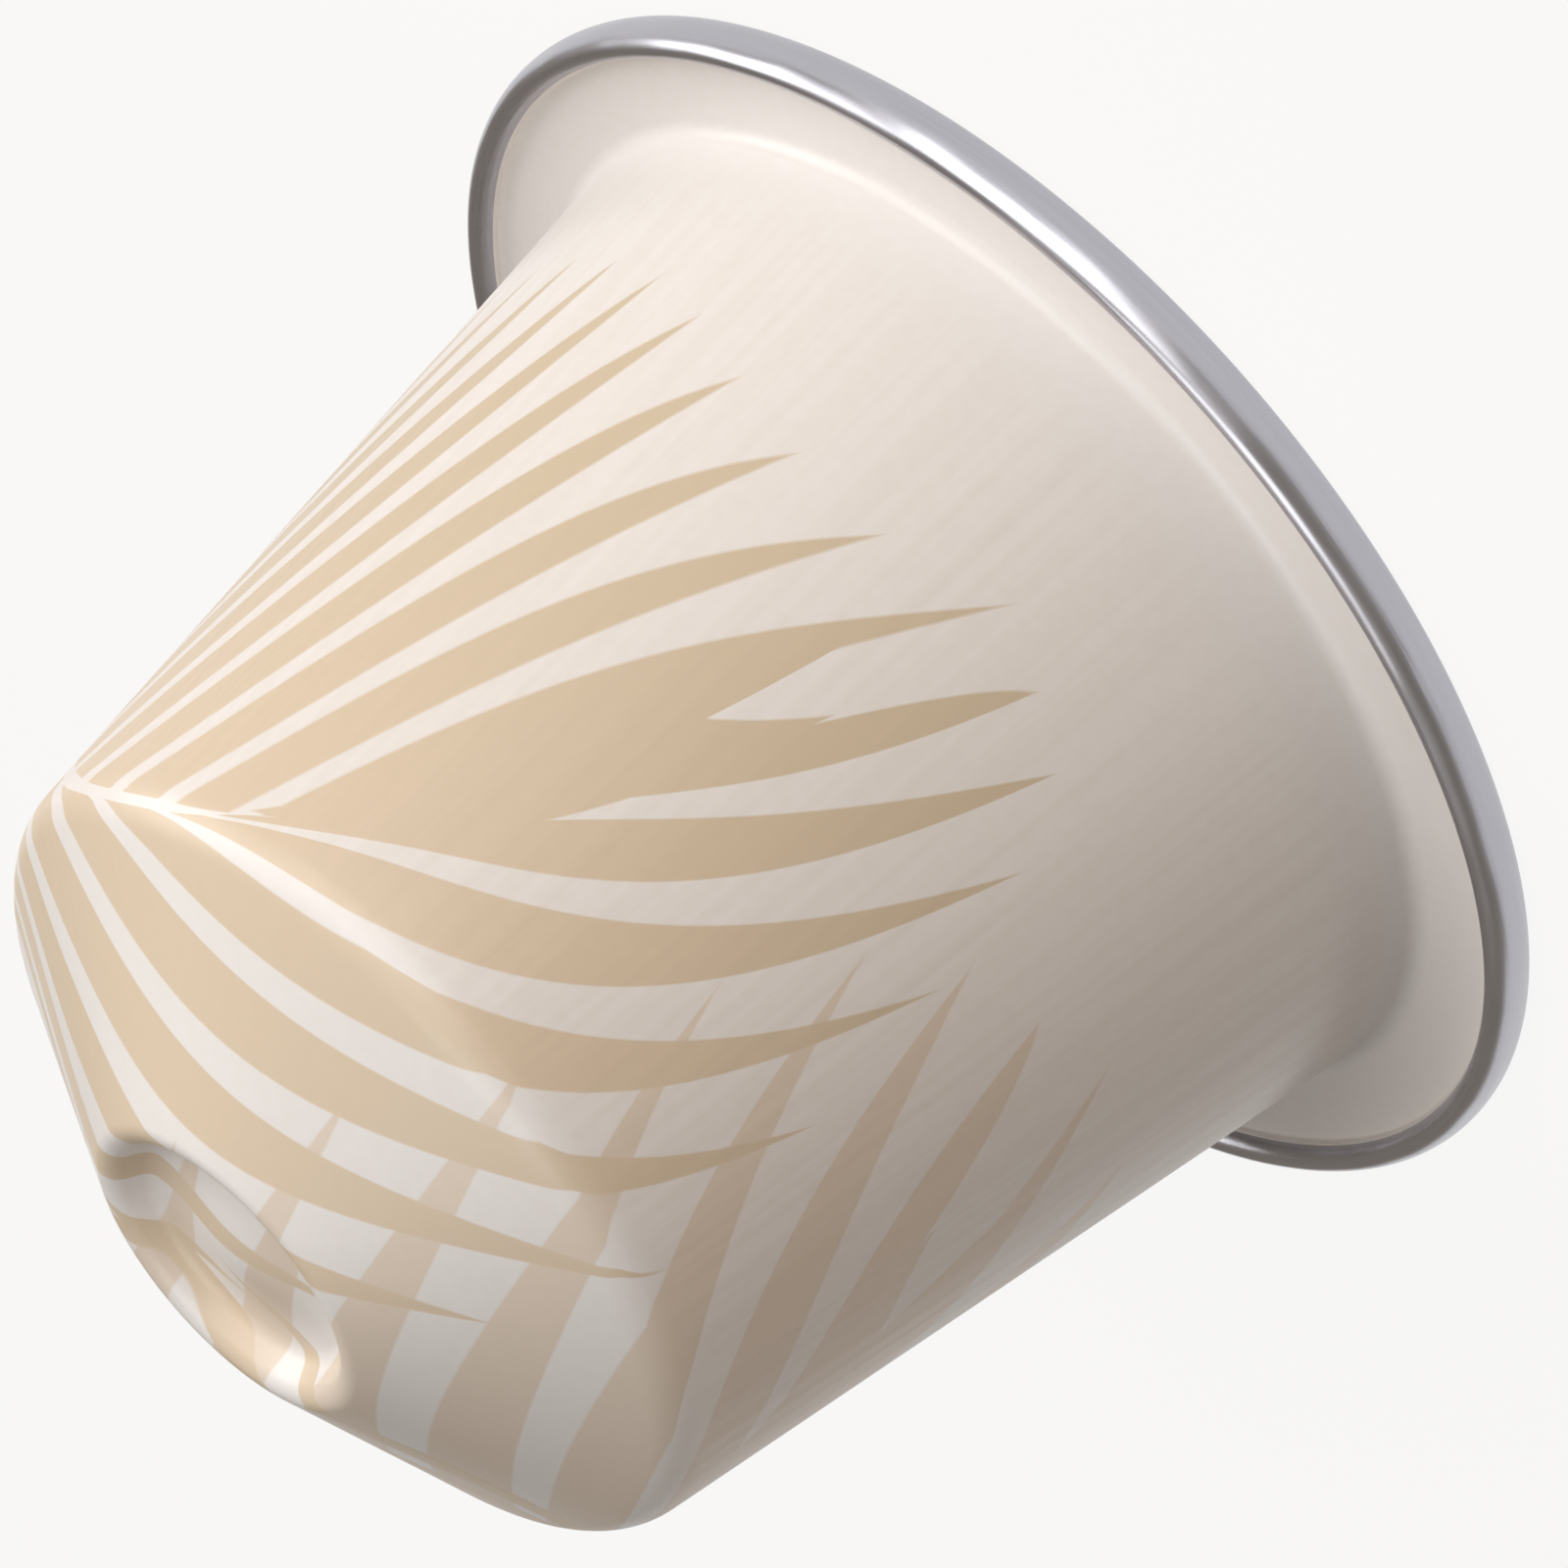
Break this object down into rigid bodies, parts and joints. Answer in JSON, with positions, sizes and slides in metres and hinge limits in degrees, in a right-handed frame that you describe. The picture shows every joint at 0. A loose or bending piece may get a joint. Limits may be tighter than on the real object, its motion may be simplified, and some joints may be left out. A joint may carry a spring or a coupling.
{
  "type": "coffee pod",
  "caption": "Sealed single-serve coffee pod: a tapered aluminium cup with a rolled rim, a cone nose with a shallow recess, and a flat foil lid.",
  "frame": {"origin": "centre of the ring under the rolled rim on which the pod stands, lid down", "axes": "+Z along the pod's own axis, from the foil lid to the nose; the pod is round, so +X and +Y are free, and the side seen in the picture faces -Y"},
  "size_m": [0.037, 0.037, 0.0289],
  "materials": {
    "lacquered_cup": "satin",
    "bare_rim": "polished",
    "foil_lid": "satin"
  },
  "bodies": {
    "root": {"coffee_pod": "lacquered_cup"}
  },
  "joints": []
}
